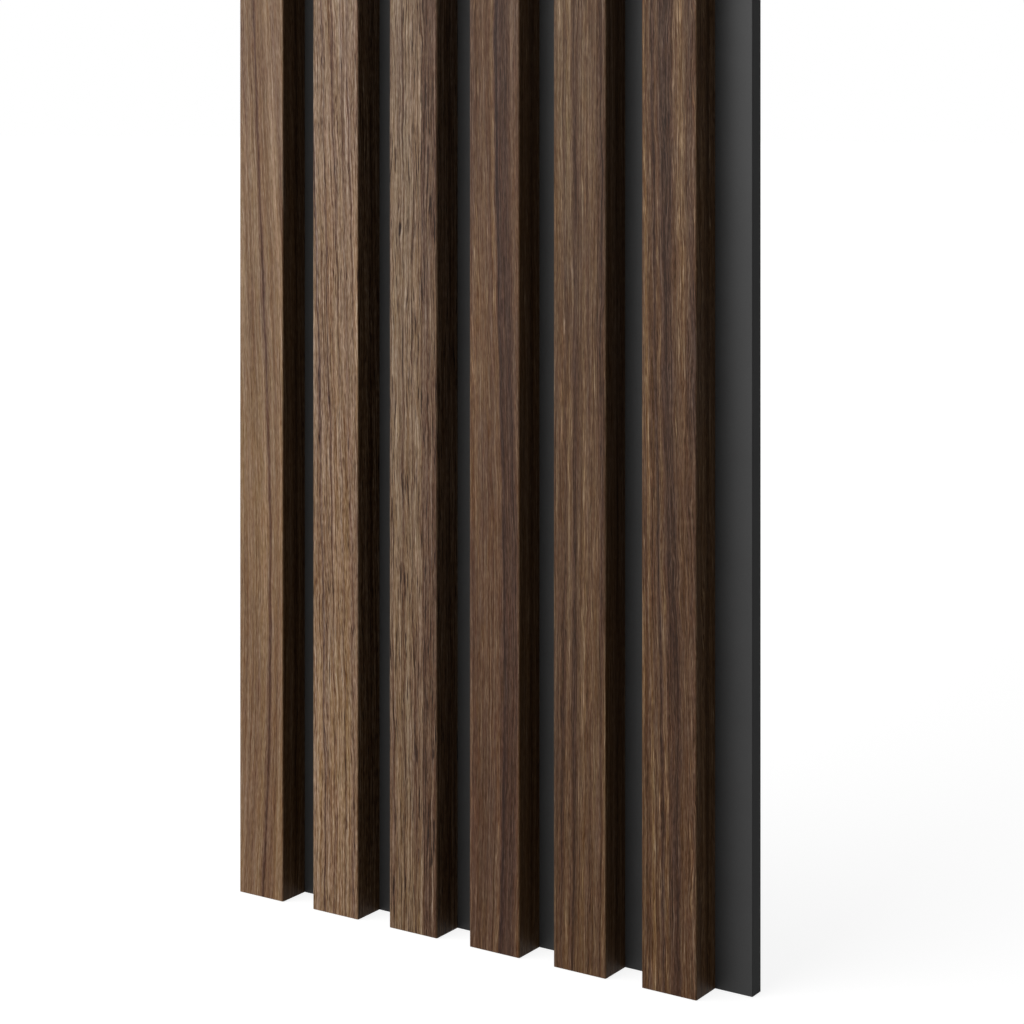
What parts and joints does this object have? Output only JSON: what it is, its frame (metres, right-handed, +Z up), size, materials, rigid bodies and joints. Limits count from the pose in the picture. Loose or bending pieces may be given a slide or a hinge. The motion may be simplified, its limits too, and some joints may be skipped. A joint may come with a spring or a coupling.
{
  "type": "slat wall panel",
  "caption": "Tall wall panel of upright walnut-finish slats glued to a dark backing board, which runs on past the last slat so that panels butt together with even gaps.",
  "frame": {"origin": "foot of the back face, half way across the panel: the point where the panel's middle line, the wall and the floor line meet", "axes": "+Z up along the slats, +X to the viewer's right when facing the panel, +Y into the wall; the slats face -Y"},
  "size_m": [0.3, 0.027, 2.75],
  "materials": {
    "walnut_finish": "open-grained dark walnut, matt, wrapped round the front and both sides of each slat",
    "charcoal_board": "fine fibreboard coloured dark grey right through, smooth and matt"
  },
  "bodies": {
    "root": {"backing_board": "charcoal_board", "slat_1": "walnut_finish", "slat_2": "walnut_finish", "slat_3": "walnut_finish", "slat_4": "walnut_finish", "slat_5": "walnut_finish", "slat_6": "walnut_finish"}
  },
  "joints": []
}
